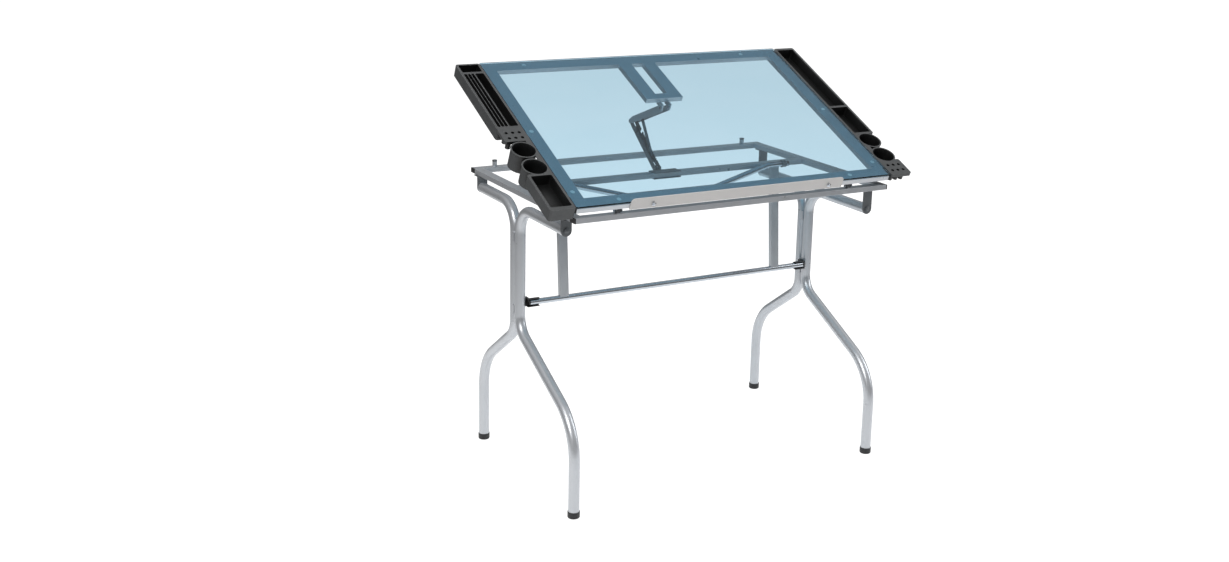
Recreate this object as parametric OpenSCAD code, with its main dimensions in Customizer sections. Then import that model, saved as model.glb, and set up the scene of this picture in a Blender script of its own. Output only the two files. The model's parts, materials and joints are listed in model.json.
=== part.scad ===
// Folding drafting table: a glass drawing top that tilts on a rectangular base frame,
// two bent-tube leg sets that fold in under the frame, a swinging leg brace, a ratchet
// support behind the hinge, a sliding pencil ledge and a tool tray on each side.
// Millimetres, +Z up, +X to the right, front at -Y, floor at z = 0.

/* [Base frame] */
// Width of the base frame
base_w = 893; // [800:5:1000]
// Depth of the base frame
base_d = 601; // [560:1:640]
// Height of the top of the base frame above the floor
base_z = 735; // [720:5:760]
// Fore and aft place of the base frame's middle
base_mid_y = 8; // [-20:1:20]
// Face width of the flat rectangular tube
flat_w = 25.4; // [22:0.2:28]
// Thickness of the flat rectangular tube
flat_t = 12.7; // [12:0.1:14]
// Front face of the middle rail
mid_rail_y = 46.4; // [40:0.2:60]

/* [Legs] */
// Distance of each leg set from the middle of the frame
leg_x = 436; // [430:1:440]
// Diameter of the round leg tube
leg_od = 27; // [24:0.5:28]
// Fore and aft place of the line where the two tubes of a set touch
leg_pair_y = 37; // [30:1:45]
// Height of the left set's fold axis
left_pivot_z = 691; // [688:1:694]
// Height of the right set's fold axis
right_pivot_z = 658; // [655:1:660]
// Fore and aft place of the front feet
front_foot_y = -287; // [-300:1:-270]
// Fore and aft place of the rear feet
rear_foot_y = 250; // [240:1:270]

/* [Brace] */
// Distance of the brace's pivot axis from its lower tube
brace_len = 285; // [270:1:287]
// Angle that the brace leans forward when it is snapped into the legs
brace_lean = 4.7; // [3:0.1:6]
// Diameter of the bright round tube
bright_od = 15; // [12:0.5:16]

/* [Top] */
// Tilt of the drawing top
tilt = 24.5; // [0:0.5:35]
// Width of the glass
glass_w = 895; // [860:1:900]
// Depth of the glass
glass_d = 607; // [590:1:620]
// Thickness of the glass
glass_t = 5; // [4:0.5:6]
// Face width of the bars under the glass
bar_w = 35; // [30:1:40]
// Half the distance between the two hinges
hinge_x = 330; // [280:5:380]

/* [Trays and ledge] */
// Width of a side tray
tray_w = 65; // [60:1:70]
// Depth of a side tray's bins
tray_h = 30; // [26:1:34]
// Radius of a cup
cup_r = 28.5; // [24:0.5:29]
// Length of the pencil ledge
ledge_w = 604; // [560:2:620]
// Height of the pencil ledge
ledge_h = 30; // [24:1:32]
// Travel of the pencil ledge
ledge_travel = 6; // [3:1:6]

/* [Hidden] */
$fn = 48;

wall = 1.2;
joint_gap = 0.5;
run_gap = 0.09;

front_y = base_mid_y - base_d / 2;
rear_y = base_mid_y + base_d / 2;
rail_low_z = base_z - flat_t;
rail_x = base_w / 2 - flat_w / 2;
plug_t = 3;
rear_rail_y = rear_y - flat_w;

post_h = 17.2;
post_x = 385;
post_r = 6;
post_y = rear_rail_y + flat_w / 2;

bracket_w = 28;
bracket_t = 3;
front_bracket_y = -230;
rear_bracket_y = 257;
bolt_r = 4;
bend_r = 65;
splay_r1 = 60;
splay_r2 = 140;
front_splay_z = 415;
front_splay_angle = 64;
rear_splay_z = 395;
rear_splay_angle = 55;
foot_t = 3;
foot_h = 16;
foot_wall = 1.5;
pair_gap = 0.1;

brace_y = mid_rail_y - 10;
brace_z = base_z - 4;
upright_x = 320;
upright_w = 24;
grip_end_x = 366;
grip_bend_x = 301;
grip_low_x = 132;
grip_drop = 45;
stretcher_x = 414;
clip_len = 33;

bar_t = flat_t;
pad_t = 1;
top_gap = 11.5;
glass_z = top_gap + bar_t + pad_t;
hinge_y = front_y + flat_w / 2;
hinge_z = base_z + 6;
hinge_pin_r = 2.5;
top_front = -10.6;
top_rear = top_front + glass_d;

arm_pin_r = 2.5;
mount_mid_x = -8;
mount_v = 405;
mount_cross_w = 22;
saddle_y = 102.7;
saddle_z = 736;
knee_y = 235;
knee_z = 839;
upper_pivot_v = 395 + top_front;
upper_pivot_n = glass_z + glass_t - 30;
pawl_from_knee = 50;
pawl_pin_rise = 3;
pawl_len = 115;
pawl_angle = 238.02;

tray_in_x = glass_w / 2 + 1;
tray_mid_x = tray_in_x + tray_w / 2;
tray_front = top_front - 3;
tray_len = glass_d;
tray_wall = 2.5;
neck_w = 14;
cup_lip = 3.5;
tab_l = 24;
left_tabs = [100, 500];
right_tabs = [200, 500];
rim_z = glass_z + glass_t;
cup_h = 48;
pen_r = 4.5;
pen_h = 26;

ledge_t = 2;
ledge_top = rim_z + 8.5;
ledge_mid_x = -6;
ledge_screw_mid_x = 2;
ledge_screw_x = 250;
ledge_screw_z = top_gap + bar_t / 2 + 1;

steel = "#c3c4c9";
dark_steel = "#73767a";
bright = "#dfe6ee";
black = "#17181a";
charcoal = "#4c4f51";

// ---- shared shapes ----

// Ring profile of a round tube
module ring(od) {
    difference() {
        circle(od / 2);
        circle(od / 2 - wall);
    }
}

// Flat tube along X, centred on x, open at both ends
module flat_tube_x(length) {
    difference() {
        translate([-length / 2, 0, 0]) cube([length, flat_w, flat_t]);
        translate([-length / 2 - 1, wall, wall])
            cube([length + 2, flat_w - 2 * wall, flat_t - 2 * wall]);
    }
}

// Flat tube along Y from y = 0, centred on x
module flat_tube_y(length) {
    difference() {
        translate([-flat_w / 2, 0, 0]) cube([flat_w, length, flat_t]);
        translate([-flat_w / 2 + wall, -1, wall])
            cube([flat_w - 2 * wall, length + 2, flat_t - 2 * wall]);
    }
}

// Wide bar along Y or X under the glass, given by its footprint
module bar(size, along_x) {
    inset = along_x ? [-1, wall] : [wall, -1];
    grow = along_x ? [2, -2 * wall] : [-2 * wall, 2];
    difference() {
        cube([size[0], size[1], bar_t]);
        translate([inset[0], inset[1], wall])
            cube([size[0] + grow[0], size[1] + grow[1], bar_t - 2 * wall]);
    }
}

// Rectangle with round corners, from its low corner
module round_rect(w, l, r) {
    translate([r, 0]) square([w - 2 * r, l]);
    translate([0, r]) square([w, l - 2 * r]);
    for (x = [r, w - r], y = [r, l - r])
        translate([x, y]) circle(r);
}

// Tube that starts at the origin along +Z; each step is [straight run, bend radius,
// bend angle], and a positive angle turns the tube towards the frame's +Y
module bent_tube(od, steps, i = 0) {
    if (i < len(steps)) {
        run = steps[i][0];
        r = steps[i][1];
        angle = steps[i][2];
        side = angle < 0 ? -1 : 1;
        if (run > 0) linear_extrude(run) ring(od);
        translate([0, 0, run]) {
            if (angle != 0)
                scale([1, side, 1])
                    translate([0, r, 0])
                        rotate([90, 0, -90])
                            rotate_extrude(angle = abs(angle)) translate([r, 0]) ring(od);
            translate([0, side * r, 0])
                rotate([-angle, 0, 0])
                    translate([0, -side * r, 0])
                        bent_tube(od, steps, i + 1);
        }
    }
}

// Frame of the tilted top: origin on the hinge axis, +Y up the slope, +Z off the glass
module on_top() {
    translate([0, hinge_y, hinge_z]) rotate([tilt, 0, 0]) children();
}

// Frame of the brace: origin on its pivot axis, hanging along -Z
module on_brace() {
    translate([0, brace_y, brace_z]) rotate([-brace_lean, 0, 0]) children();
}

// Place of a point of the top in the object's own frame, as [y, z]
function top_point(v, n) = [
    hinge_y + v * cos(tilt) - n * sin(tilt),
    hinge_z + v * sin(tilt) + n * cos(tilt)
];

// ---- base frame ----

module base_front_rail() {
    color(steel)
        translate([0, front_y, rail_low_z]) flat_tube_x(base_w - 2 * plug_t);
}

module base_rear_rail() {
    color(steel)
        translate([0, rear_rail_y, rail_low_z]) flat_tube_x(base_w - 2 * plug_t);
}

module side_rail(side) {
    color(steel)
        translate([side * rail_x, front_y + flat_w, rail_low_z])
            flat_tube_y(rear_rail_y - front_y - flat_w);
}

module base_left_rail() { side_rail(-1); }
module base_right_rail() { side_rail(1); }

module base_middle_rail() {
    color(steel)
        translate([0, mid_rail_y, rail_low_z]) flat_tube_x(base_w - 2 * flat_w);
}

// Plug with its flange on the origin's XZ plane and its tongue along +Y
module end_plug() {
    tongue = 14;
    fit = 0.1;
    translate([-flat_w / 2, -plug_t, 0]) cube([flat_w, plug_t, flat_t]);
    translate([-flat_w / 2 + wall + fit, 0, wall + fit])
        cube([flat_w - 2 * (wall + fit), tongue, flat_t - 2 * (wall + fit)]);
}

module rail_end_plugs() {
    color(black)
        for (side = [-1, 1], y = [front_y, rear_rail_y])
            translate([side * (base_w / 2 - plug_t), y + flat_w / 2, rail_low_z])
                rotate([0, 0, side * 90]) end_plug();
}

module rest_posts() {
    color(steel)
        for (side = [-1, 1])
            translate([side * post_x, post_y, base_z]) cylinder(r = post_r, h = post_h - 3);
}

module rest_post_caps() {
    cap_h = 4;
    color(dark_steel)
        for (side = [-1, 1])
            translate([side * post_x, post_y, base_z + post_h - cap_h])
                difference() {
                    cylinder(r = post_r + 0.6, h = cap_h);
                    translate([0, 0, -1]) cylinder(r = post_r, h = 2);
                }
}

// Hanger plate in the XZ plane that carries one end of a leg set, with a welded foot
module leg_bracket(pivot_z, inward) {
    drop = rail_low_z - pivot_z;
    foot_len = 22;
    difference() {
        union() {
            translate([-bracket_w / 2, 0, pivot_z]) cube([bracket_w, bracket_t, drop]);
            translate([0, bracket_t, pivot_z]) rotate([90, 0, 0])
                cylinder(r = bracket_w / 2, h = bracket_t);
            translate([-bracket_w / 2, inward > 0 ? 0 : bracket_t - foot_len, rail_low_z - bracket_t])
                cube([bracket_w, foot_len, bracket_t]);
        }
        translate([0, bracket_t + 1, pivot_z]) rotate([90, 0, 0])
            cylinder(r = bolt_r, h = bracket_t + 2);
    }
}

module leg_brackets(side, pivot_z) {
    color(dark_steel)
        translate([side * leg_x, 0, 0]) {
            translate([0, front_bracket_y, 0]) leg_bracket(pivot_z, -1);
            translate([0, rear_bracket_y, 0]) leg_bracket(pivot_z, 1);
        }
}

module left_leg_brackets() { leg_brackets(-1, left_pivot_z); }
module right_leg_brackets() { leg_brackets(1, right_pivot_z); }

// Bolt along +Y with its head at the origin
module pivot_bolt() {
    head_h = 3.5;
    shaft = bracket_t + 11;
    rotate([-90, 0, 0]) {
        translate([0, 0, -head_h]) cylinder(r = 7, h = head_h);
        cylinder(r = bolt_r, h = shaft);
    }
}

module pivot_bolts(side, pivot_z) {
    color(dark_steel)
        translate([side * leg_x, 0, pivot_z]) {
            translate([0, front_bracket_y, 0]) pivot_bolt();
            translate([0, rear_bracket_y + bracket_t, 0]) rotate([0, 0, 180]) pivot_bolt();
        }
}

module left_pivot_bolts() { pivot_bolts(-1, left_pivot_z); }
module right_pivot_bolts() { pivot_bolts(1, right_pivot_z); }

// Loop that carries the brace's top tube on the front of the middle rail
module brace_pivot_clips() {
    clip_w = 14;
    outer_r = bright_od / 2 + 2;
    color(dark_steel)
        for (side = [-1, 1])
            translate([side * 350 - clip_w / 2, brace_y, brace_z])
                difference() {
                    union() {
                        rotate([0, 90, 0]) cylinder(r = outer_r, h = clip_w);
                        translate([0, 0, -5]) cube([clip_w, mid_rail_y - brace_y, 8.6]);
                    }
                    translate([-1, 0, 0]) rotate([0, 90, 0])
                        cylinder(r = bright_od / 2 + run_gap, h = clip_w + 2);
                }
}

// Saddle that wraps the middle rail and carries the ratchet's lower pivot
module ratchet_saddle() {
    saddle_w = 80;
    saddle_t = 2.5;
    lug_in = 3.5;
    lug_t = 2.5;
    back_y = mid_rail_y + flat_w;
    color(dark_steel)
        translate([mount_mid_x, 0, 0])
            difference() {
                union() {
                    for (z = [base_z, rail_low_z - saddle_t])
                        translate([-saddle_w / 2, mid_rail_y - 3, z])
                            cube([saddle_w, flat_w + 3 + saddle_t, saddle_t]);
                    translate([-saddle_w / 2, back_y, rail_low_z - saddle_t])
                        cube([saddle_w, saddle_t, flat_t + 2 * saddle_t]);
                    for (side = [-1, 1])
                        translate([side > 0 ? lug_in : -lug_in - lug_t, 0, 0]) {
                            translate([0, back_y, rail_low_z])
                                cube([lug_t, saddle_y - back_y, flat_t]);
                            translate([0, saddle_y, saddle_z]) rotate([0, 90, 0])
                                cylinder(r = 7, h = lug_t);
                            translate([0, saddle_y - 14, base_z - 4]) cube([lug_t, 14, 11.4]);
                        }
                }
                translate([-lug_in - lug_t - 1, saddle_y, saddle_z]) rotate([0, 90, 0])
                    cylinder(r = arm_pin_r, h = 2 * (lug_in + lug_t + 1));
            }
}

module ratchet_base_pin() {
    pin_half = 8;
    color(bright)
        translate([mount_mid_x - pin_half, saddle_y, saddle_z]) rotate([0, 90, 0])
            cylinder(r = arm_pin_r, h = 2 * pin_half);
}

module top_hinge_knuckles() {
    knuckle_half = 4.5;
    color(dark_steel)
        for (side = [-1, 1])
            translate([side * hinge_x - knuckle_half, hinge_y, 0])
                difference() {
                    union() {
                        translate([0, -knuckle_half, base_z])
                            cube([2 * knuckle_half, 2 * knuckle_half, hinge_z - base_z]);
                        translate([0, 0, hinge_z]) rotate([0, 90, 0])
                            cylinder(r = knuckle_half, h = 2 * knuckle_half);
                    }
                    translate([-1, 0, hinge_z]) rotate([0, 90, 0])
                        cylinder(r = hinge_pin_r, h = 2 * knuckle_half + 2);
                }
}

module top_hinge_pins() {
    pin_half = 9;
    head = 1.5;
    color(bright)
        for (side = [-1, 1])
            translate([side * hinge_x, hinge_y, hinge_z]) rotate([0, 90, 0]) {
                translate([0, 0, -pin_half]) cylinder(r = hinge_pin_r, h = 2 * pin_half);
                for (end = [-pin_half - head, pin_half])
                    translate([0, 0, end]) cylinder(r = 4, h = head);
            }
}

// ---- leg sets ----

// Leg tube in a frame whose +Y runs from the bracket to the middle of the set
module leg_tube(bracket_u, pair_u, foot_u, pivot_z, splay_z, splay_angle) {
    reach = pair_u - foot_u - (splay_r1 + splay_r2) * (1 - cos(splay_angle));
    slant = reach / sin(splay_angle);
    drop = (splay_r1 + splay_r2) * sin(splay_angle) + slant * cos(splay_angle);
    start_u = bracket_u + bracket_t + joint_gap;
    translate([0, start_u, pivot_z])
        rotate([-90, 0, 0])
            bent_tube(leg_od, [
                [pair_u - bend_r - start_u, bend_r, 90],
                [pivot_z - bend_r - splay_z, splay_r1, splay_angle],
                [slant, splay_r2, -splay_angle],
                [splay_z - drop - foot_t, 0, 0]
            ]);
}

module front_leg(side, pivot_z) {
    color(steel)
        translate([side * leg_x, 0, 0])
            leg_tube(front_bracket_y, leg_pair_y - leg_od / 2 - pair_gap, front_foot_y,
                pivot_z, front_splay_z, front_splay_angle);
}

module rear_leg(side, pivot_z) {
    color(steel)
        translate([side * leg_x, 0, 0])
            mirror([0, 1, 0])
                leg_tube(-rear_bracket_y - bracket_t, -leg_pair_y - leg_od / 2 - pair_gap,
                    -rear_foot_y, pivot_z, rear_splay_z, rear_splay_angle);
}

// Narrow strips that join the two tubes of a set, on both flanks
module weld_plates(side, pivot_z) {
    strip_w = 9;
    strip_h = 22;
    top_z = pivot_z - bend_r - strip_h;
    low_z = front_splay_z + 2;
    color(steel)
        for (flank = [-1, 1], z = [low_z, top_z])
            translate([side * leg_x, leg_pair_y, z])
                intersection() {
                    translate([flank > 0 ? 0 : -leg_od / 2, -strip_w / 2, 0])
                        cube([leg_od / 2, strip_w, strip_h]);
                    difference() {
                        translate([flank > 0 ? 5 : -13, -strip_w, 0]) cube([8, 2 * strip_w, strip_h]);
                        for (way = [-1, 1])
                            translate([0, way * (leg_od / 2 + pair_gap), -1])
                                cylinder(r = leg_od / 2, h = strip_h + 2);
                    }
                }
}

// Plug in each upper end of a leg set, bored for the pivot bolt
module leg_end_plugs(side, pivot_z) {
    plug_len = 14;
    color(black)
        for (end = [0, 1])
            translate([side * leg_x,
                    end == 0 ? front_bracket_y + bracket_t + joint_gap
                        : rear_bracket_y - joint_gap - plug_len,
                    pivot_z])
                rotate([-90, 0, 0])
                    difference() {
                        cylinder(r = leg_od / 2 - wall, h = plug_len);
                        translate([0, 0, -1]) cylinder(r = bolt_r + run_gap, h = plug_len + 2);
                    }
}

module feet(side) {
    color(black)
        for (y = [front_foot_y, rear_foot_y])
            translate([side * leg_x, y, 0])
                difference() {
                    union() {
                        cylinder(r1 = leg_od / 2, r2 = leg_od / 2 + foot_wall, h = 2);
                        translate([0, 0, 2]) cylinder(r = leg_od / 2 + foot_wall, h = foot_h - 2);
                    }
                    translate([0, 0, foot_t]) cylinder(r = leg_od / 2, h = foot_h);
                }
}

// Open-fronted spring clip beside a leg set, round the brace's lower tube; open at both ends
// and carried by a block that wraps the back of the leg tube
module brace_clip(side) {
    grip_y = brace_y - brace_len * sin(brace_lean);
    grip_z = brace_z - brace_len * cos(brace_lean);
    inner_r = bright_od / 2 + 1;
    outer_r = inner_r + 2.2;
    prong = 6;
    near_x = leg_x - leg_od / 2 - clip_len;
    tube_y = leg_pair_y - leg_od / 2 - pair_gap;
    color(black)
        scale([side, 1, 1])
            difference() {
                union() {
                    translate([near_x, grip_y, grip_z]) rotate([0, 90, 0])
                        cylinder(r = outer_r, h = clip_len - 1);
                    translate([near_x, grip_y - prong, grip_z - outer_r])
                        cube([clip_len - 1, prong, 2 * outer_r]);
                    translate([leg_x - leg_od / 2 - 8, grip_y + 5, grip_z - outer_r])
                        cube([16, tube_y - grip_y + 4, 2 * outer_r]);
                }
                translate([near_x - 1, grip_y, grip_z]) rotate([0, 90, 0])
                    cylinder(r = inner_r, h = clip_len + 20);
                translate([near_x - 1, grip_y - 20, grip_z - inner_r])
                    cube([clip_len + 20, 20, 2 * inner_r]);
                translate([leg_x, tube_y, grip_z - 30]) cylinder(r = leg_od / 2, h = 60);
            }
}

module left_front_leg() { front_leg(-1, left_pivot_z); }
module left_rear_leg() { rear_leg(-1, left_pivot_z); }
module left_leg_weld_plates() { weld_plates(-1, left_pivot_z); }
module left_leg_end_plugs() { leg_end_plugs(-1, left_pivot_z); }
module left_feet() { feet(-1); }
module left_brace_clip() { brace_clip(-1); }
module right_front_leg() { front_leg(1, right_pivot_z); }
module right_rear_leg() { rear_leg(1, right_pivot_z); }
module right_leg_weld_plates() { weld_plates(1, right_pivot_z); }
module right_leg_end_plugs() { leg_end_plugs(1, right_pivot_z); }
module right_feet() { feet(1); }
module right_brace_clip() { brace_clip(1); }

// ---- brace ----

// Half of the top tube, from the middle outwards: low grip, rise, pivot length
module brace_top_half() {
    grip_bend_r = 40;
    rise = atan((grip_drop) / (grip_bend_x - grip_low_x));
    tangent = grip_bend_r * tan(rise / 2);
    slant = sqrt(pow(grip_drop, 2) + pow(grip_bend_x - grip_low_x, 2)) - 2 * tangent;
    translate([0, 0, -grip_drop])
        rotate([0, 90, 0])
            rotate([0, 0, 90])
                bent_tube(bright_od, [
                    [grip_low_x - tangent, grip_bend_r, rise],
                    [slant, grip_bend_r, -rise],
                    [grip_end_x - grip_bend_x - tangent, 0, 0]
                ]);
}

module brace_top_tube() {
    color(bright)
        on_brace()
            for (side = [0, 1])
                mirror([side, 0, 0]) brace_top_half();
}

module brace_upright(side) {
    clear_r = bright_od / 2 + 0.02;
    color(steel)
        on_brace()
            translate([side * upright_x, 0, 0])
                difference() {
                    translate([-upright_w / 2, -flat_t / 2, -brace_len])
                        cube([upright_w, flat_t, brace_len]);
                    translate([-upright_w / 2 + wall, -flat_t / 2 + wall, -brace_len - 1])
                        cube([upright_w - 2 * wall, flat_t - 2 * wall, brace_len + 2]);
                    for (z = [0, -brace_len])
                        translate([-upright_w, 0, z]) rotate([0, 90, 0])
                            cylinder(r = clear_r, h = 2 * upright_w);
                }
}

module brace_left_upright() { brace_upright(-1); }
module brace_right_upright() { brace_upright(1); }

module brace_stretcher() {
    color(bright)
        on_brace()
            translate([-stretcher_x, 0, -brace_len]) rotate([0, 90, 0])
                linear_extrude(2 * stretcher_x) ring(bright_od);
}

// Caps in the ends of the lower tube
module stretcher_plugs() {
    cap_t = 4.5;
    tongue = 12;
    fit = 0.1;
    color(black)
        on_brace()
            for (side = [-1, 1])
                translate([side * stretcher_x, 0, -brace_len]) rotate([0, side * 90, 0]) {
                    cylinder(r = bright_od / 2, h = cap_t);
                    translate([0, 0, -tongue]) cylinder(r = bright_od / 2 - wall - fit, h = tongue);
                }
}

// ---- top ----

module top_front_bar() {
    color(steel) on_top()
        translate([-glass_w / 2 + plug_t, top_front, top_gap])
            bar([glass_w - 2 * plug_t, bar_w], true);
}

module top_rear_bar() {
    color(steel) on_top()
        translate([-glass_w / 2 + plug_t, top_rear - bar_w, top_gap])
            bar([glass_w - 2 * plug_t, bar_w], true);
}

module top_side_bar(side) {
    color(steel) on_top()
        translate([side > 0 ? glass_w / 2 - bar_w : -glass_w / 2, top_front + bar_w, top_gap])
            bar([bar_w, glass_d - 2 * bar_w], false);
}

module top_left_bar() { top_side_bar(-1); }
module top_right_bar() { top_side_bar(1); }

module top_bar_plugs() {
    color(black) on_top()
        for (side = [-1, 1], v = [top_front, top_rear - bar_w])
            translate([side > 0 ? glass_w / 2 - plug_t : -glass_w / 2, v, top_gap])
                cube([plug_t, bar_w, bar_t]);
}

// Pair of lugs at each hinge, under the front bar
module top_hinge_lugs() {
    lug_in = 5;
    lug_t = 2.5;
    lug_r = 5;
    color(dark_steel) on_top()
        for (side = [-1, 1], flank = [-lug_in - lug_t, lug_in])
            translate([side * hinge_x + flank, 0, 0])
                difference() {
                    union() {
                        translate([0, -lug_r, 0]) cube([lug_t, 2 * lug_r, top_gap]);
                        rotate([0, 90, 0]) cylinder(r = lug_r, h = lug_t);
                    }
                    translate([-1, 0, 0]) rotate([0, 90, 0])
                        cylinder(r = hinge_pin_r + run_gap, h = lug_t + 2);
                }
}

// Two short bars forward from the rear bar, joined by a cross bar with the upper lugs
module ratchet_mount() {
    arm_w = 36;
    arm_gap = 36;
    lug_in = 10.6;
    lug_t = 2.5;
    lug_r = 8;
    cross_v = mount_v + top_front;
    color(steel) on_top()
        translate([mount_mid_x, 0, 0]) {
            for (side = [-1, 1])
                translate([side > 0 ? arm_gap / 2 : -arm_gap / 2 - arm_w, cross_v, top_gap])
                    difference() {
                        cube([arm_w, top_rear - bar_w - cross_v, bar_t]);
                        translate([wall, mount_cross_w, wall])
                            cube([arm_w - 2 * wall, top_rear, bar_t - 2 * wall]);
                    }
            translate([-arm_gap / 2, cross_v, top_gap]) cube([arm_gap, mount_cross_w, bar_t]);
            for (flank = [-lug_in - lug_t, lug_in])
                difference() {
                    union() {
                        translate([flank, upper_pivot_v, upper_pivot_n])
                            rotate([0, 90, 0]) cylinder(r = lug_r, h = lug_t);
                        translate([flank, upper_pivot_v - lug_r, upper_pivot_n])
                            cube([lug_t, mount_cross_w + lug_r, top_gap - upper_pivot_n]);
                        translate([flank, upper_pivot_v - lug_r, top_gap])
                            cube([lug_t, cross_v - upper_pivot_v + lug_r, 4]);
                    }
                    translate([flank - 1, upper_pivot_v, upper_pivot_n])
                        rotate([0, 90, 0]) cylinder(r = arm_pin_r, h = lug_t + 2);
                }
        }
}

// Rivets that hold the ratchet's upper arm in the lugs, one on each flank
module ratchet_mount_rivets() {
    inner = 8.6;
    outer = 13.1;
    color(bright) on_top()
        for (side = [-1, 1])
            translate([mount_mid_x, upper_pivot_v, upper_pivot_n])
                scale([side, 1, 1]) rotate([0, 90, 0]) {
                    translate([0, 0, inner]) cylinder(r = arm_pin_r, h = outer - inner);
                    translate([0, 0, outer]) cylinder(r = 5, h = 1.5);
                }
}

module glass_pads() {
    pad_r = 6;
    rear_x = 330;
    side_x = glass_w / 2 - bar_w / 2;
    spots = [
        [-side_x, 60], [side_x, 60], [-side_x, glass_d / 2], [side_x, glass_d / 2],
        [-rear_x, glass_d - bar_w / 2], [rear_x, glass_d - bar_w / 2],
        [-rear_x, bar_w / 2], [rear_x, bar_w / 2]
    ];
    color("#d7dde0") on_top()
        for (spot = spots)
            translate([spot[0], top_front + spot[1], glass_z - pad_t])
                cylinder(r = pad_r, h = pad_t);
}

module glass_top() {
    color("#a9d3e6") on_top()
        translate([-glass_w / 2, top_front, glass_z])
            linear_extrude(glass_t) round_rect(glass_w, glass_d, 4);
}

module ledge_screws() {
    head_gap = 0.4;
    plate_face = top_front - 0.6 - ledge_t - head_gap;
    color(bright) on_top()
        for (side = [-1, 1])
            translate([ledge_screw_mid_x + side * ledge_screw_x, plate_face, ledge_screw_z])
                rotate([-90, 0, 0]) {
                    translate([0, 0, -2]) cylinder(r = 4, h = 2);
                    cylinder(r = 2, h = top_front - plate_face);
                }
}

// ---- trays ----

// Box outer and inner of one bin, from its low corner in the tray's own plan
module bin_outer(x, v, w, l) {
    translate([x - tray_wall, v - tray_wall, -tray_h])
        linear_extrude(tray_h) round_rect(w + 2 * tray_wall, l + 2 * tray_wall, 5);
}

module bin_inner(x, v, w, l, floor_z = -27.5) {
    translate([x, v, floor_z]) linear_extrude(40) round_rect(w, l, 3);
}

// Run of bins from v0 to v1: rim plate with a skirt under its edge
module skirted_run(v0, v1) {
    length = v1 - v0;
    inner_w = tray_w - 2 * tray_wall;
    translate([0, v0, -tray_wall]) linear_extrude(tray_wall) round_rect(tray_w, length, 6);
    translate([0, v0, -tray_h])
        linear_extrude(tray_h - tray_wall)
            difference() {
                round_rect(tray_w, length, 6);
                translate([tray_wall, tray_wall])
                    round_rect(inner_w, length - 2 * tray_wall, 4);
            }
}

// Tray in its own plan: x from its inner edge outwards, y up the slope, rim at z = 0.
// Runs and plates are [v0, v1, ...]; a plate also has its thickness.
module tray(runs, plate, neck, bins, grooves, cups, pens, tabs) {
    difference() {
        union() {
            for (r = runs) skirted_run(r[0], r[1]);
            translate([0, plate[0], -plate[2]])
                linear_extrude(plate[2]) round_rect(tray_w, plate[1] - plate[0], 6);
            translate([0, neck[0], -tray_wall]) cube([neck_w, neck[1] - neck[0], tray_wall]);
            for (b = bins) bin_outer(b[0], b[1], b[2], b[3]);
            for (g = grooves) bin_outer(g[0], g[1], g[2], g[3]);
            for (c = cups) {
                translate([c[0], c[1], -cup_h]) cylinder(r = cup_r + tray_wall, h = cup_h);
                translate([c[0], c[1], -tray_wall]) cylinder(r = cup_r + cup_lip, h = tray_wall);
            }
            for (p = pens)
                translate([p[0], p[1], -pen_h - 2]) cylinder(r = pen_r + 2, h = pen_h + 2);
            for (v = tabs)
                translate([-20, v, rim_low()]) cube([20 + tray_wall, tab_l, 2]);
        }
        for (b = bins) bin_inner(b[0], b[1], b[2], b[3]);
        for (g = grooves) bin_inner(g[0], g[1], g[2], g[3], -12);
        for (c = cups)
            translate([c[0], c[1], tray_wall - cup_h]) cylinder(r = cup_r, h = cup_h + 10);
        for (p = pens)
            translate([p[0], p[1], -pen_h]) cylinder(r = pen_r, h = pen_h + 10);
    }
}

// Underside of the side bars, from the tray's rim
function rim_low() = top_gap - rim_z - 2;

module left_tray() {
    mid = tray_w / 2;
    inner_w = tray_w - 2 * 6;
    groove_w = 8;
    bins = [
        [6, 12, inner_w, 118],
        [6, 330, 23, 232],
        [6, 570, inner_w, 32]
    ];
    grooves = [for (i = [0 : 2]) [32 + i * (groove_w + 1.5), 330, groove_w, 232]];
    cups = [[mid, 165], [mid, 233]];
    pens = [for (x = [-17, 0, 17], v = [282, 303]) [mid + x, v]];
    color(charcoal) on_top()
        translate([-tray_in_x, tray_front, rim_z]) mirror([1, 0, 0])
            tray([[0, 138], [318, tray_len]], [268, 324, 8], [130, 276],
                bins, grooves, cups, pens, left_tabs);
}

module right_tray() {
    mid = tray_w / 2;
    inner_w = tray_w - 2 * 6;
    bins = [
        [6, 188, inner_w, 118],
        [6, 314, inner_w, 284]
    ];
    cups = [[mid, 86], [mid, 152]];
    pens = [for (x = [-17, 0, 17], v = [18, 40]) [mid + x, v]];
    color(charcoal) on_top()
        translate([tray_in_x, tray_front, rim_z])
            tray([[180, tray_len]], [0, 62, 9], [54, 188], bins, [], cups, pens, right_tabs);
}

// Screws through the tray tabs into the side bars
module tray_screws() {
    spots = [
        [-1, left_tabs[0]], [-1, left_tabs[1]],
        [1, right_tabs[0]], [1, right_tabs[1]]
    ];
    color(bright) on_top()
        for (s = spots)
            translate([s[0] * (tray_in_x - 12), tray_front + s[1] + tab_l / 2, rim_z + rim_low()])
                translate([0, 0, -2]) cylinder(r = 4, h = 2);
}

// ---- pencil ledge ----

ledge_face = top_front - 0.6 - ledge_t;

// Upright slot with a short foot to one side, cut through the plate
module ledge_slot(x) {
    slot_r = 2.5;
    foot = 7;
    translate([x, ledge_face + ledge_t / 2, ledge_screw_z])
        rotate([90, 0, 0])
            linear_extrude(4 * ledge_t, center = true) {
                circle(slot_r);
                translate([-slot_r, 0]) square([2 * slot_r, ledge_travel]);
                translate([0, ledge_travel]) circle(slot_r);
                translate([0, -slot_r]) square([foot, 2 * slot_r]);
                translate([foot, 0]) circle(slot_r);
            }
}

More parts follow.
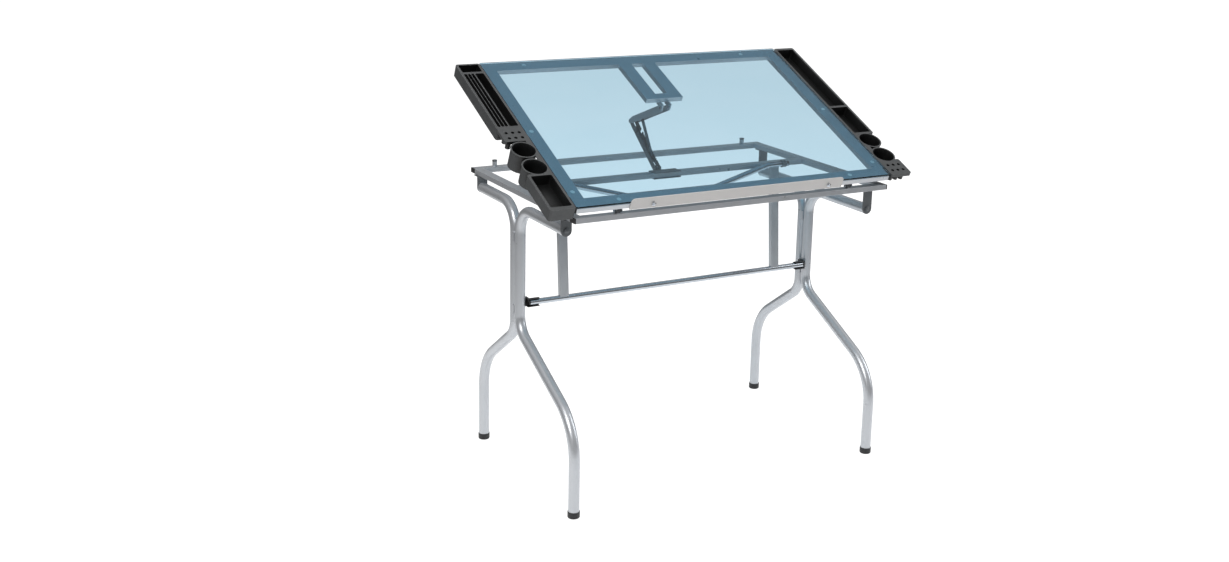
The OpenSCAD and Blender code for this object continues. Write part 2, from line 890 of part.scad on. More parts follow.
module pencil_ledge() {
    corner = 10;
    color("#c9c4c4") on_top()
        difference() {
            translate([ledge_mid_x - ledge_w / 2, ledge_face, ledge_top - ledge_h]) {
                cube([ledge_w, ledge_t, ledge_h - corner]);
                translate([corner, 0, 0]) cube([ledge_w - 2 * corner, ledge_t, ledge_h]);
                for (x = [corner, ledge_w - corner])
                    translate([x, ledge_t, ledge_h - corner]) rotate([90, 0, 0])
                        cylinder(r = corner, h = ledge_t);
            }
            for (side = [-1, 1]) ledge_slot(ledge_screw_mid_x + side * ledge_screw_x);
        }
}

// ---- ratchet support ----

upper_pivot = top_point(upper_pivot_v, upper_pivot_n);
lower_len = norm([knee_y - saddle_y, knee_z - saddle_z]);
lower_angle = atan2(knee_z - saddle_z, knee_y - saddle_y);
upper_len = norm([knee_y - upper_pivot[0], knee_z - upper_pivot[1]]);
upper_angle = atan2(knee_z - upper_pivot[1], knee_y - upper_pivot[0]);
arm_half = 8;
knee_r = 6;
sheet = 1.5;

// Side plate of an arm along +Y, from the pivot to the narrower knee end, with a bore at
// the pivot
module cheek(length, bore_r, far_bore_r) {
    neck = 14;
    difference() {
        union() {
            translate([0, 0, -arm_half]) cube([sheet, length - neck, 2 * arm_half]);
            rotate([0, 90, 0]) cylinder(r = arm_half, h = sheet);
            translate([sheet, 0, 0]) rotate([0, -90, 0])
                linear_extrude(sheet)
                    polygon([
                        [-arm_half, length - neck], [arm_half, length - neck],
                        [knee_r, length], [-knee_r, length]
                    ]);
            translate([0, length, 0]) rotate([0, 90, 0]) cylinder(r = knee_r, h = sheet);
        }
        translate([-1, 0, 0]) rotate([0, 90, 0]) cylinder(r = bore_r, h = sheet + 2);
        if (far_bore_r > 0)
            translate([-1, length, 0]) rotate([0, 90, 0]) cylinder(r = far_bore_r, h = sheet + 2);
    }
}

// Channel that carries the teeth on its open edge
module ratchet_lower_arm() {
    inner = 6.5;
    pitch = 7;
    tooth_start = 22;
    tooth_count = 14;
    web_stop = 14;
    release_from_knee = 42;
    release_w = 9;
    release_floor = -2.1;
    color(dark_steel)
        translate([mount_mid_x, saddle_y, saddle_z])
            rotate([lower_angle, 0, 0])
                difference() {
                    union() {
                        for (x = [-inner - sheet, inner])
                            translate([x, 0, 0]) cheek(lower_len, arm_pin_r + run_gap, arm_pin_r);
                        translate([-inner, 26, -arm_half])
                            cube([2 * inner, lower_len - 26 - web_stop, sheet]);
                    }
                    translate([-20, lower_len - release_from_knee - release_w / 2, release_floor])
                        cube([40, release_w, 2 * arm_half]);
                    for (i = [0 : tooth_count - 1])
                        translate([-20, tooth_start + i * pitch, arm_half])
                            rotate([45, 0, 0]) translate([0, -2.2, -2.2]) cube([40, 4.4, 4.4]);
                }
}

module ratchet_knee_pin() {
    half = 8;
    color(bright)
        translate([mount_mid_x - half, knee_y, knee_z]) rotate([0, 90, 0])
            cylinder(r = arm_pin_r, h = 2 * half);
}

// Wider channel that hangs from the top and closes over the lower arm
module ratchet_upper_arm() {
    inner = 8.6;
    web_start = 16;
    web_stop = 14;
    color(steel)
        translate([mount_mid_x, upper_pivot[0], upper_pivot[1]])
            rotate([upper_angle, 0, 0]) {
                for (x = [-inner - sheet, inner])
                    translate([x, 0, 0]) cheek(upper_len, arm_pin_r + run_gap, 0);
                translate([-inner - sheet, web_start, arm_half])
                    cube([2 * (inner + sheet), upper_len - web_start - web_stop, sheet]);
            }
}

// Pivot of the pawl on the upper arm, as [y, z]
pawl_pivot = [
    knee_y - pawl_from_knee * cos(upper_angle) - pawl_pin_rise * sin(upper_angle),
    knee_z - pawl_from_knee * sin(upper_angle) + pawl_pin_rise * cos(upper_angle)
];

// Strut whose free end stands in the teeth of the lower arm
module ratchet_pawl() {
    half = 2.5;
    color(dark_steel)
        translate([mount_mid_x - half, pawl_pivot[0], pawl_pivot[1]])
            rotate([pawl_angle, 0, 0])
                difference() {
                    union() {
                        translate([0, 0, -4]) cube([2 * half, pawl_len - 4, 8]);
                        for (y = [0, pawl_len - 4])
                            translate([0, y, 0]) rotate([0, 90, 0]) cylinder(r = 4, h = 2 * half);
                    }
                    translate([-1, 0, 0]) rotate([0, 90, 0])
                        cylinder(r = 2 + run_gap, h = 2 * half + 2);
                }
}

// Pin between the upper arm's side plates
module pawl_pin() {
    half = 8.6;
    color(bright)
        translate([mount_mid_x - half, pawl_pivot[0], pawl_pivot[1]]) rotate([0, 90, 0])
            cylinder(r = 2, h = 2 * half);
}

module pawl_spring() {
    color("#8a6f4a")
        translate([mount_mid_x, pawl_pivot[0], pawl_pivot[1]])
            rotate([pawl_angle, 0, 0])
                translate([-2.5, pawl_len - 42, 4]) cube([5, 30, 0.8]);
}

base_front_rail();
base_rear_rail();
base_left_rail();
base_right_rail();
base_middle_rail();
rail_end_plugs();
rest_posts();
rest_post_caps();
left_leg_brackets();
right_leg_brackets();
left_pivot_bolts();
right_pivot_bolts();
brace_pivot_clips();
ratchet_saddle();
ratchet_base_pin();
top_hinge_knuckles();
top_hinge_pins();
left_front_leg();
left_rear_leg();
left_leg_weld_plates();
left_leg_end_plugs();
left_feet();
left_brace_clip();
right_front_leg();
right_rear_leg();
right_leg_weld_plates();
right_leg_end_plugs();
right_feet();
right_brace_clip();
brace_top_tube();
brace_left_upright();
brace_right_upright();
brace_stretcher();
stretcher_plugs();
top_front_bar();
top_rear_bar();
top_left_bar();
top_right_bar();
top_bar_plugs();
top_hinge_lugs();
ratchet_mount();
ratchet_mount_rivets();
glass_pads();
glass_top();
ledge_screws();
left_tray();
right_tray();
tray_screws();
pencil_ledge();
ratchet_upper_arm();
ratchet_lower_arm();
ratchet_knee_pin();
ratchet_pawl();
pawl_pin();
pawl_spring();
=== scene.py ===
import bpy, bmesh, json, math
from mathutils import Matrix, Vector


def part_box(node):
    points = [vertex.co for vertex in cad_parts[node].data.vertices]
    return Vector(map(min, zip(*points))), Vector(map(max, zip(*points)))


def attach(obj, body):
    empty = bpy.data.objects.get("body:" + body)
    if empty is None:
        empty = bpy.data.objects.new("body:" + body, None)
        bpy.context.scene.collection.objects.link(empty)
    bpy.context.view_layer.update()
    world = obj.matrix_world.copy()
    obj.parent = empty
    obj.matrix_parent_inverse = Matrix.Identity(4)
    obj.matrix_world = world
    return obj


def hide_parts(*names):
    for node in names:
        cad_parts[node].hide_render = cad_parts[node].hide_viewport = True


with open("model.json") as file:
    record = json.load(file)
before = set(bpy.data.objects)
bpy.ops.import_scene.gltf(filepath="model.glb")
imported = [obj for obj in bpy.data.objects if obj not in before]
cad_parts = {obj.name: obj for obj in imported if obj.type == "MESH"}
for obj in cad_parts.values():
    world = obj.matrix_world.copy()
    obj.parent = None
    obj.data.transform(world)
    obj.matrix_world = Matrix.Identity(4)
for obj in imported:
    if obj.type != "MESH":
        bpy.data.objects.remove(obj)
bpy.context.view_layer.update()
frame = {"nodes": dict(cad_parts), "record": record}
record = frame["record"]
print("frame loaded:", len(frame["nodes"]), "nodes")

bodyOf = {n: b for b, nodes in record["behaviour"]["bodies"].items() for n in nodes}
slotOf = {s["node"]: s["material_slot"] for s in record["subparts"]}
tilt = math.radians(24.5)                                   # rest tilt of the drawing top
upSlope = Vector((0, math.cos(tilt), math.sin(tilt)))
offGlass = Vector((0, -math.sin(tilt), math.cos(tilt)))


def newMaterial(name, color, roughness, metallic=0.0):
    mat = bpy.data.materials.new(name)
    mat.use_nodes = True
    shader = mat.node_tree.nodes["Principled BSDF"]
    shader.inputs["Base Color"].default_value = (*color, 1)
    shader.inputs["Roughness"].default_value = roughness
    shader.inputs["Metallic"].default_value = metallic
    mat.diffuse_color = (*color, 1)
    return mat, mat.node_tree.nodes, mat.node_tree.links, shader


def maths(nodes, links, operation, *values):
    node = nodes.new("ShaderNodeMath")
    node.operation = operation
    for value, socket in zip(values, node.inputs):
        if isinstance(value, (int, float)):
            socket.default_value = value
        else:
            links.new(value, socket)
    return node.outputs[0]


def noise(nodes, links, coord, scale, detail=3.0, rough=0.55, stretch=(1, 1, 1)):
    tex = nodes.new("ShaderNodeTexNoise")
    tex.inputs["Scale"].default_value = scale
    tex.inputs["Detail"].default_value = detail
    tex.inputs["Roughness"].default_value = rough
    mapping = nodes.new("ShaderNodeMapping")
    mapping.inputs["Scale"].default_value = stretch
    links.new(coord, mapping.inputs["Vector"])
    links.new(mapping.outputs["Vector"], tex.inputs["Vector"])
    return tex.outputs["Fac"]


def remap(nodes, links, value, low, high, fromLow=0.3, fromHigh=0.7):
    node = nodes.new("ShaderNodeMapRange")
    node.inputs["From Min"].default_value = fromLow
    node.inputs["From Max"].default_value = fromHigh
    node.inputs["To Min"].default_value = low
    node.inputs["To Max"].default_value = high
    links.new(value, node.inputs["Value"])
    return node.outputs["Result"]


def blendColors(nodes, links, fac, a, b):
    mix = nodes.new("ShaderNodeMix")
    mix.data_type = "RGBA"
    for value, socket in ((a, mix.inputs[6]), (b, mix.inputs[7])):
        if isinstance(value, tuple):
            socket.default_value = (*value, 1)
        else:
            links.new(value, socket)
    links.new(fac, mix.inputs[0])
    return mix.outputs[2]


def bump(nodes, links, height, distance, strength=1.0, onTop=None):
    node = nodes.new("ShaderNodeBump")
    node.inputs["Strength"].default_value = strength
    node.inputs["Distance"].default_value = distance
    links.new(height, node.inputs["Height"])
    if onTop is not None:
        links.new(onTop, node.inputs["Normal"])
    return node.outputs["Normal"]


def edgeMask(nodes, links, radius):
    # 0 on flat metal, rising to 1 where two faces meet
    rounded = nodes.new("ShaderNodeBevel")
    rounded.samples = 4
    rounded.inputs["Radius"].default_value = radius
    geometry = nodes.new("ShaderNodeNewGeometry")
    dot = nodes.new("ShaderNodeVectorMath")
    dot.operation = "DOT_PRODUCT"
    links.new(rounded.outputs["Normal"], dot.inputs[0])
    links.new(geometry.outputs["Normal"], dot.inputs[1])
    return remap(nodes, links, dot.outputs["Value"], 1.0, 0.0, 0.80, 0.985)


def seenDirectly(nodes, links):
    # 1 for a ray from the eye, bare or through the glass, 0 once it has bounced
    path = nodes.new("ShaderNodeLightPath")
    rays, depths = ("Is Camera Ray", "Is Transmission Ray"), ("Diffuse Depth", "Glossy Depth")
    either = maths(nodes, links, "MAXIMUM", *(path.outputs[k] for k in rays))
    bounces = maths(nodes, links, "ADD", *(path.outputs[k] for k in depths))
    unbounced = maths(nodes, links, "LESS_THAN", bounces, 0.5)
    return maths(nodes, links, "MULTIPLY", either, unbounced)


# noise scales per metre, bump heights and edge widths in metres
spray = {"flake": 2600, "cloud": 5.5, "smudge": 34, "peel": 420, "softer": 0.93, "edge": 0.0009,
         "patches": (0.42, 0.66), "duller": 0.05, "rougher": 0.07, "flakeBump": 0.25, "coatRoughness": 0.12}


def sprayedMetal(name, s):
    mat, nodes, links, shader = newMaterial(name, s["color"], s["roughness"], s["metallic"])
    coord = nodes.new("ShaderNodeTexCoord").outputs["Object"]
    flake = noise(nodes, links, coord, spray["flake"], 1.0)
    cloud = noise(nodes, links, coord, spray["cloud"], 4.0)
    smudge = noise(nodes, links, coord, spray["smudge"], 5.0, 0.62)
    darker = tuple(c * (1 - s["vary"]) for c in s["color"])
    lighter = tuple(min(1, c * (1 + s["vary"])) for c in s["color"])
    soft = tuple(c * spray["softer"] for c in s["color"])
    base = blendColors(nodes, links, remap(nodes, links, flake, 0, 1), darker, lighter)
    base = blendColors(nodes, links, remap(nodes, links, cloud, 0, 0.5), base, soft)
    worn = edgeMask(nodes, links, spray["edge"])            # bare metal only where edges rub
    patchy = remap(nodes, links, smudge, 0, s["wear"], *spray["patches"])
    rubbed = maths(nodes, links, "MULTIPLY", worn, patchy)
    links.new(blendColors(nodes, links, rubbed, base, s["bare"]), shader.inputs["Base Color"])
    low, high = s["roughness"] - spray["duller"], s["roughness"] + spray["rougher"]
    links.new(remap(nodes, links, smudge, low, high), shader.inputs["Roughness"])
    peel = noise(nodes, links, coord, spray["peel"], 2.0)
    normal = bump(nodes, links, peel, s["peel"])
    normal = bump(nodes, links, flake, s["peel"] * spray["flakeBump"], 0.6, normal)
    links.new(normal, shader.inputs["Normal"])
    shader.inputs["Coat Weight"].default_value = s["coat"]
    shader.inputs["Coat Roughness"].default_value = spray["coatRoughness"]
    return mat


plating = {"haze": 26, "fine": 900, "cooler": 0.9, "rougher": 0.09, "bump": 0.000012}


def platedMetal(name, s):
    mat, nodes, links, shader = newMaterial(name, s["color"], s["roughness"], 1.0)
    coord = nodes.new("ShaderNodeTexCoord").outputs["Object"]
    haze = noise(nodes, links, coord, plating["haze"], 5.0, 0.6)
    fine = noise(nodes, links, coord, plating["fine"], 2.0, 0.5, s["grain"])
    cool = tuple(c * plating["cooler"] for c in s["color"])
    base = blendColors(nodes, links, remap(nodes, links, haze, 0, 1), s["color"], cool)
    links.new(base, shader.inputs["Base Color"])
    rough = remap(nodes, links, haze, s["roughness"], s["roughness"] + plating["rougher"])
    links.new(rough, shader.inputs["Roughness"])
    links.new(bump(nodes, links, fine, plating["bump"]), shader.inputs["Normal"])
    return mat


# the ambient-occlusion reach and range here set the painted shade in hollows
mould = {"cloud": 14, "dust": 70, "darker": 0.8, "dustShare": 0.16, "dustPatches": (0.52, 0.72),
         "edge": 0.0011, "shadeAO": 0.05, "shadeAORange": (0.78, 0.99), "smoother": 0.07, "rougher": 0.1}


def mouldedPlastic(name, s):
    mat, nodes, links, shader = newMaterial(name, s["color"], s["roughness"])
    coord = nodes.new("ShaderNodeTexCoord").outputs["Object"]
    cells = nodes.new("ShaderNodeTexVoronoi")
    cells.inputs["Scale"].default_value = s["grainScale"]
    links.new(coord, cells.inputs["Vector"])
    cloud = noise(nodes, links, coord, mould["cloud"], 4.0)
    dust = noise(nodes, links, coord, mould["dust"], 6.0, 0.65)
    dark = tuple(c * mould["darker"] for c in s["color"])
    base = blendColors(nodes, links, remap(nodes, links, cloud, 0, 1), dark, s["color"])
    dusty = remap(nodes, links, dust, 0, mould["dustShare"], *mould["dustPatches"])
    base = blendColors(nodes, links, dusty, base, s["dust"])
    # lighter edges: partly rubbed plastic, partly a painted highlight along rims and corners
    rubAndHighlight = maths(nodes, links, "MULTIPLY", edgeMask(nodes, links, mould["edge"]), s["rubAndHighlightShare"])
    base = blendColors(nodes, links, rubAndHighlight, base, s["edge"])
    if "paintedShadeFactor" in s:                                       # painted shade: darker down in the bins and cups
        shadeAO = nodes.new("ShaderNodeAmbientOcclusion")
        shadeAO.samples = 6
        shadeAO.inputs["Distance"].default_value = mould["shadeAO"]
        unshadedFac = remap(nodes, links, shadeAO.outputs["AO"], 0, 1, *mould["shadeAORange"])
        paintedShadeColor = tuple(c * s["paintedShadeFactor"] for c in s["color"])
        base = blendColors(nodes, links, unshadedFac, paintedShadeColor, base)
    links.new(base, shader.inputs["Base Color"])
    low, high = s["roughness"] - mould["smoother"], s["roughness"] + mould["rougher"]
    links.new(remap(nodes, links, dust, low, high), shader.inputs["Roughness"])
    grain = bump(nodes, links, cells.outputs["Distance"], s["grainDepth"], 0.7)
    links.new(grain, shader.inputs["Normal"])
    return mat


glazing = {"streak": 3.2, "stretch": (1, 2.4, 1), "deeper": (0.955, 0.98, 0.985),
           "wave": 2.2, "ripple": 0.00012}


def tintedGlass(name, s):
    mat, nodes, links, shader = newMaterial(name, s["color"], s["roughness"])
    shader.inputs["Transmission Weight"].default_value = 1.0
    shader.inputs["IOR"].default_value = s["ior"]
    coord = nodes.new("ShaderNodeTexCoord").outputs["Object"]
    streak = noise(nodes, links, coord, glazing["streak"], 4.0, 0.6, glazing["stretch"])
    deep = tuple(c * k for c, k in zip(s["color"], glazing["deeper"]))
    base = blendColors(nodes, links, remap(nodes, links, streak, 0, 1), s["color"], deep)
    links.new(base, shader.inputs["Base Color"])
    wave = noise(nodes, links, coord, glazing["wave"], 1.5)
    links.new(bump(nodes, links, wave, glazing["ripple"], 0.5), shader.inputs["Normal"])
    clear = nodes.new("ShaderNodeBsdfTransparent")          # lets the lamps through, tinted
    clear.inputs["Color"].default_value = (*s["shade"], 1)
    path = nodes.new("ShaderNodeLightPath")
    mix = nodes.new("ShaderNodeMixShader")
    links.new(path.outputs["Is Shadow Ray"], mix.inputs["Fac"])
    links.new(shader.outputs["BSDF"], mix.inputs[1])
    links.new(clear.outputs["BSDF"], mix.inputs[2])
    links.new(mix.outputs["Shader"], nodes["Material Output"].inputs["Surface"])
    return mat


finishes = {
    "silver_paint": sprayedMetal("silverPaint", {
        "color": (0.53, 0.55, 0.58), "roughness": 0.32, "metallic": 0.62, "vary": 0.07,
        "wear": 0.35, "bare": (0.6, 0.6, 0.62), "peel": 0.00002, "coat": 0.25}),
    "dark_steel": sprayedMetal("darkSteel", {
        "color": (0.16, 0.17, 0.18), "roughness": 0.4, "metallic": 0.45, "vary": 0.1,
        "wear": 0.5, "bare": (0.42, 0.43, 0.45), "peel": 0.00003, "coat": 0.1}),
    "bright_chrome": platedMetal("brightPlating", {
        "color": (0.57, 0.61, 0.66), "roughness": 0.1, "grain": (0.05, 1, 1)}),
    # plastic edge colours: partly rubbed wear, partly a painted highlight
    "black_plastic": mouldedPlastic("blackPlastic", {
        "color": (0.014, 0.014, 0.016), "roughness": 0.42, "grainScale": 1400, "grainDepth": 0.00003,
        "dust": (0.09, 0.09, 0.09), "edge": (0.1, 0.1, 0.1), "rubAndHighlightShare": 0.35}),
    # tray: painted shade darkens the bin insides
    "charcoal_plastic": mouldedPlastic("trayPlastic", {
        "color": (0.064, 0.068, 0.071), "roughness": 0.42, "grainScale": 1100, "grainDepth": 0.00005,
        "dust": (0.13, 0.13, 0.13), "edge": (0.2, 0.205, 0.21), "rubAndHighlightShare": 0.45, "paintedShadeFactor": 0.07}),
    "clear_pad": mouldedPlastic("padPlastic", {
        "color": (0.6, 0.68, 0.72), "roughness": 0.35, "grainScale": 900, "grainDepth": 0.00002,
        "dust": (0.7, 0.7, 0.7), "edge": (0.7, 0.74, 0.76), "rubAndHighlightShare": 0.3}),
    "blue_glass": tintedGlass("blueGlass", {
        "color": (0.45, 0.63, 0.73), "shade": (0.16, 0.46, 0.58), "roughness": 0.02, "ior": 1.34}),
    "ledge_paint": sprayedMetal("ledgePaint", {
        "color": (0.60, 0.585, 0.575), "roughness": 0.45, "metallic": 0.15, "vary": 0.03,
        "wear": 0.3, "bare": (0.75, 0.74, 0.73), "peel": 0.00003, "coat": 0.1}),
    "spring_steel": platedMetal("springStrip", {
        "color": (0.42, 0.31, 0.18), "roughness": 0.3, "grain": (1, 0.1, 1)}),
}
print("materials made:", len(finishes))


# edge: radius of the rolled or eased edge in metres; smooth: widest angle shaded as one surface
edges = {
    "rails": {"edge": 0.0018, "segments": 4, "smooth": 40},
    "bars": {"edge": 0.0016, "segments": 4, "smooth": 40},
    "sheet": {"edge": 0.0005, "segments": 2, "smooth": 40},
    "tube": {"edge": 0.0, "segments": 0, "smooth": 50},
    "plastic": {"edge": 0.0009, "segments": 3, "smooth": 40},
    "tray": {"edge": 0.0008, "segments": 3, "smooth": 40},
    "glass": {"edge": 0.0009, "segments": 3, "smooth": 40},
    "small": {"edge": 0.0006, "segments": 3, "smooth": 40},
}
kinds = {
    "rails": ["base_front_rail", "base_rear_rail", "base_left_rail", "base_right_rail", "base_middle_rail",
              "brace_left_upright", "brace_right_upright"],
    "bars": ["top_front_bar", "top_rear_bar", "top_left_bar", "top_right_bar", "ratchet_mount"],
    "sheet": ["left_leg_brackets", "right_leg_brackets", "ratchet_saddle", "top_hinge_lugs",
              "top_hinge_knuckles", "ratchet_upper_arm", "ratchet_lower_arm", "ratchet_pawl", "pawl_spring",
              "pencil_ledge", "brace_pivot_clips"],
    "tube": ["left_front_leg", "left_rear_leg", "right_front_leg", "right_rear_leg", "brace_top_tube",
             "brace_stretcher", "left_leg_weld_plates", "right_leg_weld_plates", "rest_posts",
             "ratchet_base_pin", "top_hinge_pins", "pawl_pin"],
    "plastic": ["rail_end_plugs", "top_bar_plugs", "left_feet", "right_feet", "left_brace_clip",
                "right_brace_clip", "left_leg_end_plugs", "right_leg_end_plugs", "rest_post_caps",
                "stretcher_plugs"],
    "tray": ["left_tray", "right_tray"],
    "glass": ["glass_top"],
    "small": ["left_pivot_bolts", "right_pivot_bolts", "ratchet_mount_rivets", "ledge_screws", "tray_screws",
              "ratchet_knee_pin", "glass_pads"],
}


# distances in metres, angles in degrees
clean = {"merge": 2e-6, "flat": 0.6, "corner": 35, "detailMerge": 1e-7, "detailSmooth": 38}


def refine(node, kind):
    s = edges[kind]
    mesh = frame["nodes"][node].data.copy()
    mesh.name = "fine_" + node
    bm = bmesh.new()
    bm.from_mesh(mesh)
    bmesh.ops.remove_doubles(bm, verts=bm.verts, dist=clean["merge"])
    flat, corner = math.radians(clean["flat"]), math.radians(clean["corner"])
    bmesh.ops.dissolve_limit(bm, angle_limit=flat, verts=bm.verts, edges=bm.edges)
    if s["edge"]:
        sharp = [e for e in bm.edges if len(e.link_faces) == 2 and e.calc_face_angle(0) > corner]
        bmesh.ops.bevel(bm, geom=sharp, offset=s["edge"], segments=s["segments"], profile=0.5,
                        affect="EDGES", clamp_overlap=True, material=-1)
    for face in bm.faces:
        face.smooth = True
    bm.to_mesh(mesh)
    bm.free()
    mesh.set_sharp_from_angle(angle=math.radians(s["smooth"]))
    mesh.materials.clear()
    mesh.materials.append(finishes[slotOf[node]])
    piece = bpy.data.objects.new("fine_" + node, mesh)
    bpy.context.scene.collection.objects.link(piece)
    weighted = piece.modifiers.new("faceNormals", "WEIGHTED_NORMAL")
    weighted.keep_sharp = True
    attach(piece, bodyOf[node])
    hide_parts(node)


for kind, names in kinds.items():
    for name in names:
        refine(name, kind)
    print("refined:", kind, len(names))


def detail(name, body, slot, build):
    mesh = bpy.data.meshes.new(name)
    bm = bmesh.new()
    build(bm)
    bmesh.ops.remove_doubles(bm, verts=bm.verts, dist=clean["detailMerge"])
    bmesh.ops.recalc_face_normals(bm, faces=bm.faces)
    for face in bm.faces:
        face.smooth = True
    bm.to_mesh(mesh)
    bm.free()
    mesh.set_sharp_from_angle(angle=math.radians(clean["detailSmooth"]))
    mesh.materials.append(finishes[slot])
    piece = bpy.data.objects.new(name, mesh)
    bpy.context.scene.collection.objects.link(piece)
    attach(piece, body)


def dome(bm, at, along, s):
    # round head: quarter ellipse spun about the given direction, both open rims closed
    out = Vector(along).normalized()
    side = out.orthogonal().normalized()
    outline = []
    for step in range(s["steps"]):
        lean = math.pi / 2 * step / (s["steps"] - 1)
        wide, high = max(s["radius"] * math.cos(lean), s["tip"]), s["height"] * math.sin(lean)
        outline.append(bm.verts.new(Vector(at) + out * high + side * wide))
    profile = [bm.edges.new(pair) for pair in zip(outline, outline[1:])]
    bmesh.ops.spin(bm, geom=outline + profile, cent=at, axis=out, angle=2 * math.pi,
                   steps=s["sides"], use_merge=True)
    bmesh.ops.holes_fill(bm, edges=[e for e in bm.edges if e.is_boundary], sides=0)


def bead(bm, start, end, s):
    # row of flattened blobs, like a hand-laid weld
    start, end = Vector(start), Vector(end)
    run = end - start
    count = max(3, int(run.length / s["pitch"]))
    for i in range(count):
        centre = start + run * ((i + 0.5) / count)
        blob = bmesh.ops.create_icosphere(bm, subdivisions=2, radius=s["radius"])["verts"]
        bmesh.ops.scale(bm, vec=s["squash"], verts=blob)
        bmesh.ops.translate(bm, vec=centre, verts=blob)


letIn = 0.0002                                              # how far a dome's foot is let in
boltHead = {"radius": 0.0048, "height": 0.0016, "steps": 6, "sides": 32, "tip": 1e-5}
screwHead = {"radius": 0.0036, "height": 0.0012, "steps": 6, "sides": 28, "tip": 1e-5, "halfHead": 0.004}
knuckle = {"length": 0.009}
postFoot = {"spots": 16, "halfStep": 0.0012}
weld = {"pitch": 0.0018, "radius": 0.0012, "squash": (1.0, 0.9, 0.7)}


def boltDomes(bm, node):
    low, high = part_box(node)
    x, z = (low[0] + high[0]) / 2, (low[2] + high[2]) / 2
    dome(bm, (x, low[1] + letIn, z), (0, -1, 0), boltHead)
    dome(bm, (x, high[1] - letIn, z), (0, 1, 0), boltHead)


def screwDomes(bm):
    low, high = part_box("ledge_screws")
    reach = screwHead["halfHead"]
    front = Vector((0, low[1], low[2])) + upSlope * letIn
    for x in (low[0] + reach, high[0] - reach):
        dome(bm, Vector((x, 0, 0)) + front + offGlass * reach, -upSlope, screwHead)


def knuckleWelds(bm):
    low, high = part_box("top_hinge_knuckles")
    for x in (low[0], high[0] - knuckle["length"]):
        for y in (low[1], high[1]):
            bead(bm, (x, y, low[2]), (x + knuckle["length"], y, low[2]), weld)


def postWelds(bm):
    low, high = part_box("rest_posts")
    radius = (high[1] - low[1]) / 2
    for x in (low[0] + radius, high[0] - radius):
        middle = Vector((x, low[1] + radius, low[2]))
        for i in range(postFoot["spots"]):
            t = 2 * math.pi * i / postFoot["spots"]
            spot = middle + Vector((math.cos(t), math.sin(t), 0)) * radius
            step = Vector((math.sin(t), -math.cos(t), 0)) * postFoot["halfStep"]
            bead(bm, spot - step, spot + step, weld)


detail("leftBoltDomes", "base", "dark_steel", lambda bm: boltDomes(bm, "left_pivot_bolts"))
detail("rightBoltDomes", "base", "dark_steel", lambda bm: boltDomes(bm, "right_pivot_bolts"))
detail("ledgeScrewDomes", "top", "bright_chrome", screwDomes)
detail("knuckleWelds", "base", "silver_paint", knuckleWelds)
detail("postWelds", "base", "silver_paint", postWelds)
print("details made")


def softLight(name, s):
    data = bpy.data.lights.new(name, "AREA")
    data.shape = "RECTANGLE"
    data.size, data.size_y = s["size"]
    data.energy = s["energy"]
    data.color = s["color"]
    lamp = bpy.data.objects.new(name, data)
    lamp.location = s["at"]
    lamp.rotation_euler = (Vector(s["to"]) - Vector(s["at"])).to_track_quat("-Z", "Y").to_euler()
    bpy.context.scene.collection.objects.link(lamp)
    return lamp


floorMesh = bpy.data.meshes.new("floor")
bm = bmesh.new()
bmesh.ops.create_grid(bm, x_segments=2, y_segments=2, size=30)
bm.to_mesh(floorMesh)
bm.free()
floor = bpy.data.objects.new("floor", floorMesh)
# white where it is seen, and in reflections a painted pool of light that glows, bright by the table and dark
# farther off
ground = {"bright": 0.85, "dark": 0.12, "from": 0.9, "to": 2.6, "glow": 0.30, "seen": 0.9,
          "seenColor": (0.3, 0.3, 0.3), "roughness": 0.85}
floorMat, nodes, links, near = newMaterial("paleFloor", (0.9, 0.9, 0.9), ground["roughness"])
coord = nodes.new("ShaderNodeTexCoord").outputs["Object"]
reach = nodes.new("ShaderNodeVectorMath")
reach.operation = "LENGTH"
links.new(coord, reach.inputs[0])
falloff = remap(nodes, links, reach.outputs["Value"], *(ground[k] for k in ("bright", "dark", "from", "to")))
links.new(falloff, near.inputs["Base Color"])
links.new(falloff, near.inputs["Emission Color"])
near.inputs["Emission Strength"].default_value = ground["glow"]
plain = nodes.new("ShaderNodeBsdfPrincipled")
plain.inputs["Base Color"].default_value = (*ground["seenColor"], 1)
plain.inputs["Roughness"].default_value = ground["roughness"]
plain.inputs["Emission Color"].default_value = (1, 1, 1, 1)
plain.inputs["Emission Strength"].default_value = ground["seen"]
mix = nodes.new("ShaderNodeMixShader")
links.new(seenDirectly(nodes, links), mix.inputs["Fac"])
links.new(near.outputs["BSDF"], mix.inputs[1])
links.new(plain.outputs["BSDF"], mix.inputs[2])
links.new(mix.outputs["Shader"], nodes["Material Output"].inputs["Surface"])
floorMesh.materials.append(floorMat)
bpy.context.scene.collection.objects.link(floor)

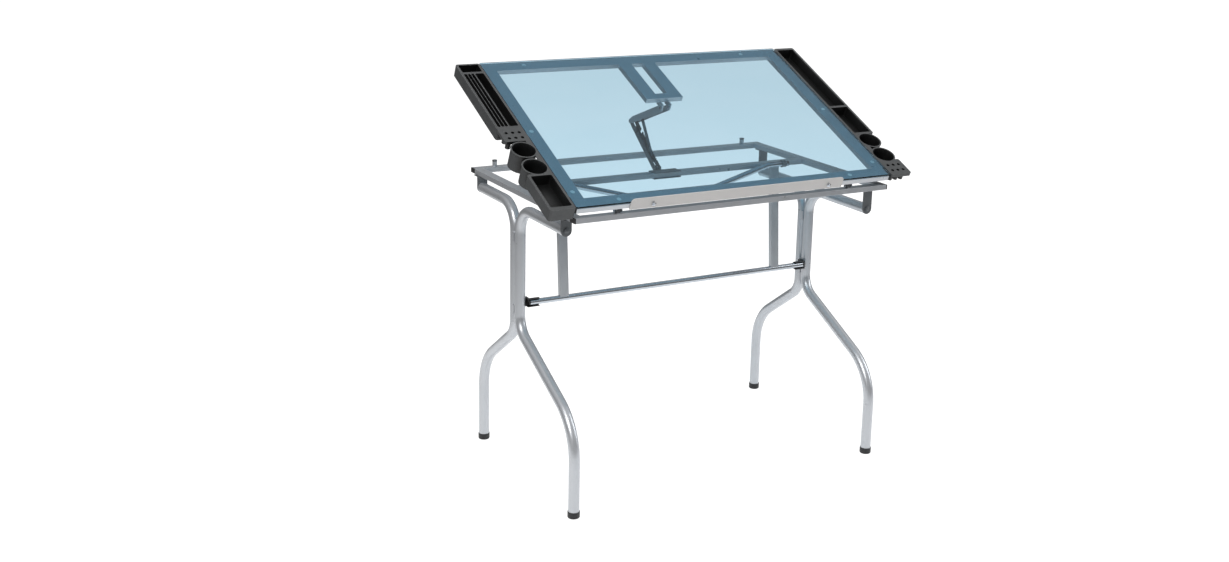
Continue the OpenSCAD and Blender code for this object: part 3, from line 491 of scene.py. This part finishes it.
# dark at the horizon, bright overhead, plain white behind the table
overhead = {"horizon": 0.16, "top": 0.95, "from": 0.05, "to": 0.9, "strength": 0.7, "behind": 1.6}
world = bpy.context.scene.world or bpy.data.worlds.new("studio")
bpy.context.scene.world = world
world.use_nodes = True
nodes, links = world.node_tree.nodes, world.node_tree.links
sky = nodes["Background"]
split = nodes.new("ShaderNodeSeparateXYZ")
links.new(nodes.new("ShaderNodeTexCoord").outputs["Generated"], split.inputs[0])
ramp = remap(nodes, links, split.outputs["Z"], *(overhead[k] for k in ("horizon", "top", "from", "to")))
white = maths(nodes, links, "MULTIPLY", seenDirectly(nodes, links), overhead["behind"])
links.new(maths(nodes, links, "MAXIMUM", ramp, white), sky.inputs["Color"])
sky.inputs["Strength"].default_value = overhead["strength"]

lights = {
    "keyLeft": {"at": (-3.2, -2.6, 3.6), "to": (0, 0, 0.6), "size": (2.4, 2.4), "energy": 125,
                "color": (1, 0.99, 0.97)},
    "fillRight": {"at": (3.6, -1.6, 2.2), "to": (0, 0, 0.6), "size": (1.6, 3.0), "energy": 55,
                  "color": (0.96, 0.98, 1)},
    "topBack": {"at": (0.6, 3.0, 4.2), "to": (0, 0.2, 0.6), "size": (4.0, 1.6), "energy": 95,
                "color": (1, 1, 1)},
}
lamps = {name: softLight(name, s) for name, s in lights.items()}
for lamp in lamps.values():
    lamp.visible_transmission = False
lamps["topBack"].visible_glossy = False       # keeps a hard white patch off the glass

# angles in degrees; focal length as a multiple of the frame's width
view = {"turn": 30.18, "down": 13.96, "roll": -1.59, "at": (-1.87452, -3.10521, 1.53244),
        "focal": 1441.66 / 1229, "sensor": 36, "shift": (-0.0327, -0.0537), "far": 200}
turn, down, roll = (math.radians(view[k]) for k in ("turn", "down", "roll"))
ahead = Vector((math.sin(turn) * math.cos(down), math.cos(turn) * math.cos(down), -math.sin(down)))
right = ahead.cross(Vector((0, 0, 1))).normalized()
lower = ahead.cross(right)
rightR = right * math.cos(roll) + lower * math.sin(roll)
lowerR = lower * math.cos(roll) - right * math.sin(roll)
lens = bpy.data.cameras.new("camera")
lens.sensor_fit = "HORIZONTAL"
lens.sensor_width = view["sensor"]
lens.lens = view["sensor"] * view["focal"]
lens.shift_x, lens.shift_y = view["shift"]
lens.clip_end = view["far"]
camera = bpy.data.objects.new("camera", lens)
axes = Matrix((rightR, -lowerR, -ahead)).transposed().to_4x4()
camera.matrix_world = Matrix.Translation(view["at"]) @ axes
bpy.context.scene.collection.objects.link(camera)
bpy.context.scene.camera = camera
bpy.context.scene.view_settings.view_transform = "Standard"
bpy.context.scene.cycles.transparent_max_bounces = 16
bpy.context.scene.cycles.max_bounces = 12

print("scene built")
